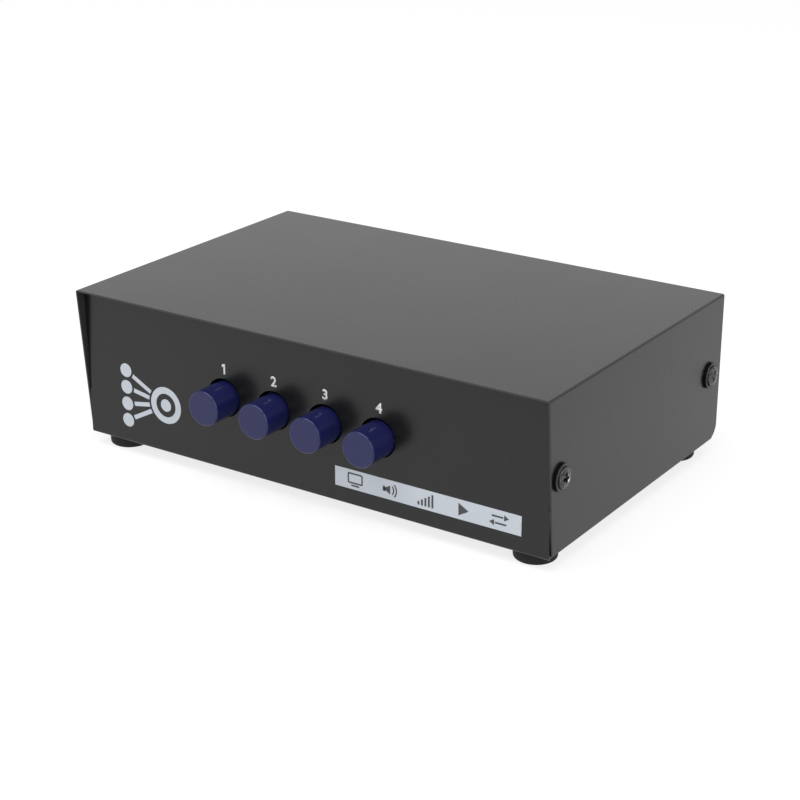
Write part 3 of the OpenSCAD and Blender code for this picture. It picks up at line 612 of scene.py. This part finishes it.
# RIBBON
# A flat grey ribbon of twenty wires between the two boards, with a red wire along one edge.
# A black header on each board clamps its end.
WIRE_PITCH = 1.27 * MM
RED_WIRE = (0.35, 0.02, 0.02)
HEADER_EDGE = 0.2 * MM


def ribbon_jacket(name, left, right):
    """Grey vinyl over a row of wires, with one edge wire in red."""
    material, shader, place = new_finish(name)
    across = place.node("SeparateXYZ", {}, {"Vector": place})
    ridge = 1 - across.math("PINGPONG", across - left, 0.5 * WIRE_PITCH) * (2 / WIRE_PITCH)
    scuff = noise(place, size=1.2 * MM, detail=3)
    grey = mix_colour(scuff, (0.3, 0.31, 0.32), (0.4, 0.41, 0.42))
    edge = step(across, right - WIRE_PITCH, right - 0.9 * WIRE_PITCH)
    mix_colour(edge, grey, RED_WIRE).feed(shader, "Base Color")
    (0.42 + scuff * 0.15).feed(shader, "Roughness")
    bump(shader, 1 - ridge * ridge, depth=0.15 * MM)
    return material


lo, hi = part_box("ribbon_cable")
paint_node("ribbon_cable", ribbon_jacket("ribbon_vinyl", lo.x, hi.x))
headers = merged_copy("clamp_headers", "ribbon_headers")
round_edges(headers, HEADER_EDGE)
dress(headers, black_moulding)


# COVER
# The top and the two sides, folded from one steel sheet and powder coated satin black. Its cut
# edges and inside take a paler grey: painted light that lifts their shade and brightens the front
# edge. It stands out past the front panel as a hood.
COVER_EDGE = 0.24 * MM
COVER_SHEEN = (0.23, 1.4)
# Paler greys for the cut edges and the inside: painted light that lifts their shade.
PAINTED_LIGHT_GREYS = (0.024, 0.032)
EDGE_TILT = 0.6
INSIDE_TILT = -0.1

cover = merged_copy("folded_cover", "top_cover")
round_edges(cover, COVER_EDGE, 3)
dress(cover, satin_black("cover_coat", *COVER_SHEEN, *COAT_BLACK))
cover.data.materials.append(satin_black("painted_light_coat", *COVER_SHEEN, *PAINTED_LIGHT_GREYS))
# Faces that look forward, back, inward or down (the cut edges and the inside) take the paler greys as
# painted light.
for face in cover.data.polygons:
    outward = face.normal.x if face.center.x > 0 else -face.normal.x
    if abs(face.normal.y) > EDGE_TILT or min(outward, face.normal.z) < INSIDE_TILT:
        face.material_index = 1


# COVER SCREWS
# Two blackened screws with raised countersunk heads in each side hold the cover to the flanges of
# the chassis. Each sinks into a nylon cup washer with an undercut wall, and the driver has worn a
# bright patch beside the recess of the front ones.
WASHER_R, WASHER_H = 4 * MM, 0.9 * MM
WASHER_RIM_H = 0.3 * MM
WASHER_EDGE = 0.08 * MM
WASHER_FOOT_R = 3.6 * MM
WASHER_HOLE_R = 1.55 * MM
LIP_R = 3.3 * MM
OVAL_R = 3 * MM
OVAL_SEAT_H, OVAL_WALL_H = 0.8 * MM, 0.4 * MM
OVAL_WALL_TOP = OVAL_SEAT_H + OVAL_WALL_H
OVAL_EDGE = 0.06 * MM
OVAL_DOME = 0.45 * MM
OVAL_RINGS = 6
RECESS_L, RECESS_W, RECESS_D = 3.3 * MM, 1.15 * MM, 1.3 * MM
RECESS_TAPER = 0.45
WEAR_AT = Vector((0.6, -0.45)) * MM
WEAR_R = 1.2 * MM
DOME_TILT = 0.5
OVAL_SPINS = {"front": 93, "rear": 71}


def black_oxide(name):
    """Blackened steel: dark, scuffed and uneven, with pale rubs where the black is thin."""
    material, shader, place = new_finish(name, Metallic=1.0)
    patch = noise(place, size=0.9 * MM, detail=3)
    scuff = noise(place, size=0.3 * MM, detail=3, roughness=0.6)
    rub = step(patch * 0.7 + scuff * 0.3, 0.36, 0.64)
    mix_colour(rub, (0.03, 0.03, 0.031), (0.12, 0.12, 0.122)).feed(shader, "Base Color")
    (0.28 + scuff * 0.2).feed(shader, "Roughness")
    bump(shader, patch * 0.8 + scuff * 0.2, depth=0.08 * MM)
    return material


washer_model = new_cylinder("washer_model", WASHER_FOOT_R, WASHER_H - WASHER_RIM_H)
pick(washer_model, "FACE", at_level(WASHER_H - WASHER_RIM_H))
bpy.ops.transform.resize(value=(WASHER_R / WASHER_FOOT_R, WASHER_R / WASHER_FOOT_R, 1))
push(WASHER_RIM_H)
rim_bevel(washer_model, WASHER_H, WASHER_EDGE, 3)
pick(washer_model, "FACE", at_level(WASHER_H))
bpy.ops.mesh.inset(thickness=WASHER_R - WASHER_EDGE - LIP_R)
bpy.ops.mesh.delete(type="FACE")
pick(washer_model, "FACE", at_level(0))
bpy.ops.mesh.inset(thickness=WASHER_FOOT_R - WASHER_HOLE_R)
bpy.ops.mesh.delete(type="FACE")
bridge_rims(washer_model)
even_shading(washer_model, 30)

oval_model = new_cylinder("oval_model", OVAL_R, OVAL_SEAT_H, SCREW_SIDES)
pick(oval_model, "FACE", at_level(0))
bpy.ops.transform.resize(value=(SCREW_R / OVAL_R, SCREW_R / OVAL_R, 1))
push(-SCREW_L)
rim_bevel(oval_model, -SCREW_L, SCREW_TIP * SCREW_R, 1)
pick(oval_model, "FACE", at_level(OVAL_SEAT_H))
push(OVAL_WALL_H)
rim_bevel(oval_model, OVAL_WALL_TOP, OVAL_EDGE, 2)
pick(oval_model, "FACE", at_level(OVAL_WALL_TOP))
dome_r = OVAL_R - OVAL_EDGE
ball_r = (dome_r ** 2 + OVAL_DOME ** 2) / (2 * OVAL_DOME)
ring_r, ring_h = dome_r, 0
for ring in range(OVAL_RINGS):
    next_r = dome_r * (1 - (ring + 1) / (OVAL_RINGS + 1))
    next_h = OVAL_DOME - ball_r + (ball_r ** 2 - next_r ** 2) ** 0.5
    bpy.ops.mesh.inset(thickness=ring_r - next_r, depth=next_h - ring_h)
    ring_r, ring_h = next_r, next_h
oxide = black_oxide("black_oxide")
worn_steel = plated("worn_steel", dark=(0.5, 0.5, 0.51), light=(0.78, 0.78, 0.79), roughness=0.16)
for metal in (oxide, worn_steel):
    oval_model.data.materials.append(metal)
pick(oval_model, "FACE", lambda face: face.normal.z > DOME_TILT
     and (face.calc_center_median().xy - WEAR_AT).length < WEAR_R)
oval_model.active_material_index = 1
bpy.ops.object.material_slot_assign()
cross_recess(oval_model, RECESS_L, RECESS_W, OVAL_WALL_TOP + OVAL_DOME, RECESS_D, RECESS_TAPER)

washer_nylon = moulded("washer_nylon", dark=(0.006, 0.006, 0.006), light=(0.011, 0.011, 0.011),
                       roughness=0.36)
cover_lo, cover_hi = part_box("top_cover")
washer_lo, washer_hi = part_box("cover_washers")
screw_z = (washer_lo.z + washer_hi.z) / 2
for side, out in (("left", -1), ("right", 1)):
    for end, y in (("front", washer_lo.y + WASHER_R), ("rear", washer_hi.y - WASHER_R)):
        seat = (cover_hi.x if out > 0 else cover_lo.x, y, screw_z)
        facing = (0, 90 * out, 0)
        washer = copy_at(washer_model, f"washer_{side}_{end}", seat, facing)
        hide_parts("cover_washers")
        dress(washer, washer_nylon)
        cover_screw = copy_at(oval_model, f"cover_screw_{side}_{end}", seat, facing, OVAL_SPINS[end])
        if end == "rear":
            cover_screw.data.materials[1] = oxide
        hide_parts("cover_screws")
        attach(cover_screw, "case")
for model in (washer_model, oval_model, screw_model):
    bpy.data.objects.remove(model)


# BUTTON CAPS
# Four glossy blue caps, moulded with a flat face, a small rounded rim and a square socket that
# is pushed on the end of the plunger. Each stands out through a wide hole in the front panel.
CAP_R = 5.15 * MM
CAP_RIM = 0.5 * MM
CAP_SIDES = 96
CAP_SPIN = 37
CAP_LINT = (0.2, 0.2, 0.3)
SOCKET_W, SOCKET_L = 3.34 * MM, 8.02 * MM


def gloss_blue(name):
    """Glossy moulded blue: a hint of flow marks, hairline scratches and a few light specks."""
    material, shader, place = new_finish(name, IOR=1.42)
    flow = noise(place, size=3 * MM)
    hair = noise(place.node("Mapping", {}, {"Vector": place, "Scale": (1, 1, 9)}), size=0.5 * MM)
    lint = specks(place, spacing=2.4 * MM, size=0.09 * MM, share=0.25)
    blue = mix_colour(flow, (0.0088, 0.0103, 0.061), (0.0114, 0.0133, 0.075))
    mix_colour(lint * 0.3, blue, CAP_LINT).feed(shader, "Base Color")
    (0.05 + flow * 0.03 + hair * 0.02 + lint * 0.2).feed(shader, "Roughness")
    bump(shader, hair * 0.6 + flow * 0.4 + lint, depth=0.003 * MM)
    return material


cap_lo, cap_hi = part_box("button_cap_1")
cap_l = cap_hi.y - cap_lo.y
cap_model = new_cylinder("cap_model", CAP_R, cap_l, CAP_SIDES)
rim_bevel(cap_model, cap_l, CAP_RIM, 6)
rim_bevel(cap_model, 0, CAP_RIM, 2)
cut(cap_model, new_block(SOCKET_W, SOCKET_W, 2 * SOCKET_L))
even_shading(cap_model, 30)

cap_blue = gloss_blue("gloss_blue")
for station in STATIONS:
    cap_lo, cap_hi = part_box(f"button_cap_{station}")
    middle = (cap_lo + cap_hi) / 2
    seat = (middle.x, cap_hi.y, middle.z)
    cap = copy_at(cap_model, f"push_cap_{station}", seat, (90, 0, 0), CAP_SPIN * station)
    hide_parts(f"button_cap_{station}")
    dress(cap, cap_blue, f"button_{station}")
bpy.data.objects.remove(cap_model)


# PRINT
# Screen printed ink on the coat: plain numbers over the buttons, numbers and an arrow beside the
# jacks, a sign of four dots joined to a ring, and a white strip with plain signs in dark ink.
INK_H = 0.03 * MM
STRIP_H = 0.06 * MM
FRONT_FACE_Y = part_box("front_panel")[0].y
CASE_Z = cover_lo.z
DIGIT_H, DIGIT_Z = 3.05 * MM, 29.45 * MM
DIGIT_X = (-27.0 * MM, -9.45 * MM, 8.0 * MM, 25.64 * MM)
DIGIT_WEIGHT = 0.03
ONE_STROKE = 0.19
ONE_FLAG = 0.26
SIGN_HUB = Vector((-49.0, 13.6)) * MM
SIGN_HUB_R, SIGN_STROKE, SIGN_DOT_R = 5.6 * MM, 2.0 * MM, 1.9 * MM
SIGN_PORT_X, SIGN_PORT_R, SIGN_PORT_PITCH = -63.8 * MM, 2.1 * MM, 5.2 * MM
SIGN_LINE = 1.3 * MM
SIGN_GAP = 0.7 * MM
STRIP_X = (11.1 * MM, 70.1 * MM)
STRIP_Z = (3.7 * MM, 9.45 * MM)
ICON_PITCH = 11.4 * MM
POINT_RIGHT, POINT_LEFT = -90, 90
LEVEL_BARS = 5
JACK_MARK_SIDE = 9.5 * MM
JACK_MARK_H = 3.6 * MM
TOP_ROW_Z = 36 * MM


def ink_finish(name, thin, full, roughness):
    """Printed ink: thin in places, with a fine screen texture."""
    material, shader, place = new_finish(name)
    cover_share = noise(place, size=0.5 * MM, detail=3)
    mesh_marks = noise(place, size=0.1 * MM, detail=1)
    mix_colour(cover_share * 0.7 + mesh_marks * 0.3, thin, full).feed(shader, "Base Color")
    (roughness + cover_share * 0.1).feed(shader, "Roughness")
    bump(shader, mesh_marks, depth=0.004 * MM)
    return material


def ink_bar(x, z, width, height, turn=0):
    """A printed bar about its middle, turned anticlockwise in degrees."""
    bpy.ops.object.select_all(action="DESELECT")
    bpy.ops.mesh.primitive_plane_add(size=1, location=(x, z, 0), rotation=(0, 0, radians(turn)))
    bar = bpy.context.object
    bar.scale = (width, height, 1)
    bpy.ops.object.transform_apply(location=True, rotation=True, scale=True)
    return bar


def ink_disc(x, z, radius, sides=48, turn=0):
    bpy.ops.object.select_all(action="DESELECT")
    bpy.ops.mesh.primitive_circle_add(vertices=sides, radius=radius, fill_type="NGON", location=(x, z, 0),
                                      rotation=(0, 0, radians(turn)))
    bpy.ops.object.transform_apply(location=True, rotation=True, scale=True)
    return bpy.context.object


def ink_point(x, z, radius, turn):
    """A printed triangle, as on the end of an arrow."""
    return ink_disc(x, z, radius, 3, turn)


def ink_ring(x, z, radius, stroke, half_sweep=180):
    """A printed ring, or the part of one about its right-hand point, in degrees."""
    ring = ink_disc(x, z, radius, 72)
    pick(ring, "FACE", lambda face: True)
    bpy.ops.mesh.inset(thickness=stroke)
    bpy.ops.mesh.delete(type="FACE")
    if half_sweep < 180:
        pick(ring, "FACE", lambda face: abs(atan2(face.calc_center_median().y - z,
                                                  face.calc_center_median().x - x)) > radians(half_sweep))
        bpy.ops.mesh.delete(type="FACE")
    bpy.ops.object.mode_set(mode="OBJECT")
    return ring


def ink_frame(x, z, width, height, stroke, corner):
    """A printed outline of a box with round corners."""
    box = ink_bar(x, z, width, height)
    select_only(box)
    bpy.ops.object.mode_set(mode="EDIT")
    bpy.ops.mesh.select_all(action="SELECT")
    bpy.ops.mesh.bevel(offset=corner, segments=5, affect="VERTICES")
    bpy.ops.mesh.select_all(action="SELECT")
    bpy.ops.mesh.inset(thickness=stroke)
    bpy.ops.mesh.delete(type="FACE")
    bpy.ops.object.mode_set(mode="OBJECT")
    return box


def ink_one(x, z, height):
    """The number 1: a bar with a flag drawn out of its upper left edge."""
    stroke = ONE_STROKE * height
    flag_z = z + ONE_FLAG * height
    bar = ink_bar(x + 0.4 * stroke, z, stroke, height)
    pick(bar, "FACE", lambda face: True)
    bpy.ops.mesh.bisect(plane_co=(0, flag_z, 0), plane_no=(0, 1, 0))
    pick(bar, "EDGE", lambda edge: all(
        corner.co.x < x and corner.co.y > flag_z - TOUCH for corner in edge.verts))
    flag_tip = (-0.95 * stroke, -0.55 * stroke, 0)
    bpy.ops.mesh.extrude_region_move(TRANSFORM_OT_translate={"value": flag_tip})
    bpy.ops.object.mode_set(mode="OBJECT")
    return bar


def ink_digit(mark, x, z, height):
    """A plain bold number of a given height about its middle."""
    if mark == "1":
        return ink_one(x, z, height)
    bpy.ops.object.select_all(action="DESELECT")
    bpy.ops.object.text_add()
    bpy.context.object.data.body = mark
    bpy.context.object.data.offset = DIGIT_WEIGHT
    bpy.ops.object.convert(target="MESH")
    digit = bpy.context.object
    xs = [corner.co.x for corner in digit.data.vertices]
    ys = [corner.co.y for corner in digit.data.vertices]
    size = height / (max(ys) - min(ys))
    digit.scale = (size, size, size)
    digit.location = (x - size * (max(xs) + min(xs)) / 2, z - size * (max(ys) + min(ys)) / 2, 0)
    bpy.ops.object.transform_apply(location=True, rotation=True, scale=True)
    return digit


def screen_icon(x, z):
    stroke = 0.45 * MM
    return [ink_frame(x, z + 0.4 * MM, width=5.0 * MM, height=3.2 * MM, stroke=stroke, corner=0.5 * MM),
            ink_bar(x, z - 1.75 * MM, width=2.6 * MM, height=stroke)]


def speaker_icon(x, z):
    """A box with a horn and two sound waves."""
    marks = [ink_bar(x - 1.9 * MM, z, width=0.9 * MM, height=1.5 * MM),
             ink_point(x - 0.65 * MM, z, 1.5 * MM, POINT_LEFT)]
    for radius in (2.1 * MM, 3.0 * MM):
        marks.append(ink_ring(x - 0.7 * MM, z, radius, stroke=0.4 * MM, half_sweep=38))
    return marks


def swap_icon(x, z):
    """Two arrows that pass each other."""
    arrows = []
    for way, turn in ((1, POINT_RIGHT), (-1, POINT_LEFT)):
        level = z + way * 0.95 * MM
        arrows += [ink_bar(x - way * 0.5 * MM, level, width=3.4 * MM, height=0.5 * MM),
                   ink_point(x + way * 2.0 * MM, level, 1.0 * MM, turn)]
    return arrows


def level_icon(x, z):
    """Bars that rise to the right from one foot line."""
    bars = []
    for bar in range(LEVEL_BARS):
        bar_h = (1.0 + 0.7 * bar) * MM
        bar_x = x + (bar - LEVEL_BARS // 2) * 1.1 * MM
        bars.append(ink_bar(bar_x, z - 1.9 * MM + bar_h / 2, width=0.6 * MM, height=bar_h))
    return bars


def print_on(name, marks, ink, face_y, thickness, behind=False):
    """Joins flat marks into one print and lays it on a panel. Seen from behind, its left is at +X."""
    bpy.ops.object.select_all(action="DESELECT")
    for mark in marks:
        mark.select_set(True)
    bpy.context.view_layer.objects.active = marks[0]
    if len(marks) > 1:
        bpy.ops.object.join()
    made = bpy.context.object
    made.name = name
    apply_modifier(made, "SOLIDIFY", thickness=thickness, offset=1)
    made.rotation_euler = (radians(90), 0, radians(180) if behind else 0)
    made.location = (0, face_y, CASE_Z)
    bpy.ops.object.transform_apply(location=True, rotation=True, scale=True)
    dress(made, ink)


white_ink = ink_finish("white_ink", thin=(0.55, 0.55, 0.55), full=(0.7, 0.7, 0.7), roughness=0.5)
grey_white_ink = ink_finish("grey_white_ink", thin=(0.42, 0.452, 0.496), full=(0.488, 0.527, 0.573),
                            roughness=0.45)
dark_ink = ink_finish("dark_ink", thin=(0.03, 0.032, 0.036), full=(0.05, 0.052, 0.058), roughness=0.5)

numbers = [ink_digit(str(station), x, DIGIT_Z, DIGIT_H) for station, x in zip(STATIONS, DIGIT_X)]
print_on("button_numbers", numbers, white_ink, FRONT_FACE_Y, INK_H)

sign = [ink_ring(*SIGN_HUB, SIGN_HUB_R, SIGN_STROKE), ink_disc(*SIGN_HUB, SIGN_DOT_R)]
middle_station = (STATIONS[0] + STATIONS[-1]) / 2
for station in STATIONS:
    place = Vector((SIGN_PORT_X, SIGN_HUB.y + (station - middle_station) * SIGN_PORT_PITCH))
    sign.append(ink_disc(*place, SIGN_PORT_R))
    way = SIGN_HUB - place
    line_l = way.length - SIGN_PORT_R - SIGN_HUB_R - 2 * SIGN_GAP
    line_at = place + way.normalized() * (SIGN_PORT_R + SIGN_GAP + line_l / 2)
    sign.append(ink_bar(*line_at, line_l, SIGN_LINE, degrees(atan2(way.y, way.x))))
print_on("selector_sign", sign, grey_white_ink, FRONT_FACE_Y, INK_H)

strip_mid_x, strip_mid_z = sum(STRIP_X) / 2, sum(STRIP_Z) / 2
strip = ink_bar(strip_mid_x, strip_mid_z, STRIP_X[1] - STRIP_X[0], STRIP_Z[1] - STRIP_Z[0])
print_on("white_strip", [strip], grey_white_ink, FRONT_FACE_Y, STRIP_H)

screen_x, speaker_x, level_x, play_x, swap_x = [strip_mid_x + k * ICON_PITCH for k in (-2, -1, 0, 1, 2)]
strip_signs = [
    *screen_icon(screen_x, strip_mid_z),
    *speaker_icon(speaker_x, strip_mid_z),
    ink_point(play_x, strip_mid_z, 2.1 * MM, POINT_RIGHT),
    *swap_icon(swap_x, strip_mid_z),
    *level_icon(level_x, strip_mid_z),
]
print_on("strip_signs", strip_signs, dark_ink, FRONT_FACE_Y - STRIP_H, INK_H)

jack_marks = [ink_digit(str(number), -x - JACK_MARK_SIDE, TOP_ROW_Z, JACK_MARK_H)
              for number, x in zip(STATIONS, COLUMN_X)]
out_x = -COLUMN_X[-1] - JACK_MARK_SIDE
jack_marks += [ink_bar(out_x - 0.8 * MM, TOP_ROW_Z, width=2.6 * MM, height=0.7 * MM),
               ink_point(out_x + 1.3 * MM, TOP_ROW_Z, 1.4 * MM, POINT_RIGHT)]
print_on("jack_numbers", jack_marks, white_ink, REAR_FACE_Y, INK_H, behind=True)


# LIGHT, FLOOR AND CAMERA
# A white sweep in a light tent, with one soft box over the front and one at its right, seen
# with a long lens from the right of the front and a little above.
TENT_LEVEL = 0.6
# The size of each soft box, its place and its power in watts.
SOFT_BOXES = {
    "top_box": ((1.3, 0.8), (0, -0.4, 1.15), 11.0),
    "side_box": ((0.5, 0.9), (0.95, -0.85, 0.5), 5.0),
}
FLOOR_SIZE = 6.0
FLOOR_PAPER = (0.9, 0.9, 0.9, 1)
FLOOR_ROUGHNESS = 0.9
FLOOR_GLOW = 0.75
FLOOR_GLOW_LEVEL = 1.06
WHITE = (1, 1, 1, 1)
LENS, SENSOR = 84.37, 36
# How far the camera stands off the middle of the cover's lower front edge, and its turns in degrees.
CAMERA_RIGHT, CAMERA_FRONT, CAMERA_UP = 287.5 * MM, 377.2 * MM, 214.4 * MM
CAMERA_DIP, CAMERA_SWING = 21.589, 33.865

scene = bpy.context.scene
scene.view_settings.view_transform = "Standard"
world = bpy.data.worlds.new("light_tent")
scene.world = world
world.use_nodes = True
sky = world.node_tree.nodes["Background"]
sky.inputs["Color"].default_value = WHITE


def seen_directly(tree):
    """1 for camera, mirror and glass rays, and 0 for the light that falls on things."""
    wire = Wire(tree)
    camera_ray = wire.node("LightPath", out="Is Camera Ray")
    mirror_ray = wire.node("LightPath", out="Is Glossy Ray")
    glass_ray = wire.node("LightPath", out="Is Transmission Ray")
    return camera_ray.math("MAXIMUM", camera_ray, mirror_ray.math("MAXIMUM", mirror_ray, glass_ray))


(TENT_LEVEL + seen_directly(world.node_tree) * (1 - TENT_LEVEL)).feed(sky, "Strength")

for name, (size, place, power) in SOFT_BOXES.items():
    lamp_data = bpy.data.lights.new(name, "AREA")
    lamp_data.shape = "RECTANGLE"
    lamp_data.size, lamp_data.size_y = size
    lamp_data.energy = power
    lamp = bpy.data.objects.new(name, lamp_data)
    scene.collection.objects.link(lamp)
    lamp.location = place
    lamp.rotation_euler = Vector(place).to_track_quat("Z", "Y").to_euler()

bpy.ops.object.select_all(action="DESELECT")
bpy.ops.mesh.primitive_plane_add(size=FLOOR_SIZE)
floor = bpy.context.object
floor.name = "floor"
paper = bpy.data.materials.new("floor_paper")
paper.use_nodes = True
paper_shader = paper.node_tree.nodes["Principled BSDF"]
paper_shader.inputs["Base Color"].default_value = FLOOR_PAPER
paper_shader.inputs["Roughness"].default_value = FLOOR_ROUGHNESS
paper_shader.inputs["Specular IOR Level"].default_value = 0.0
seen = seen_directly(paper.node_tree)
lit = Wire(paper.node_tree, paper_shader.outputs["BSDF"])
glow = seen.node("Emission", {}, {"Color": WHITE, "Strength": FLOOR_GLOW_LEVEL})
mixed = seen.node("MixShader", {}, {0: seen * FLOOR_GLOW, 1: lit, 2: glow})
mixed.feed(paper.node_tree.nodes["Material Output"], "Surface")
floor.data.materials.append(paper)

camera_data = bpy.data.cameras.new("camera")
camera_data.lens = LENS
camera_data.sensor_width = SENSOR
camera = bpy.data.objects.new("camera", camera_data)
scene.collection.objects.link(camera)
camera.location = (CAMERA_RIGHT, cover_lo.y - CAMERA_FRONT, cover_lo.z + CAMERA_UP)
camera.rotation_euler = (radians(90 - CAMERA_DIP), 0, radians(CAMERA_SWING))
scene.camera = camera
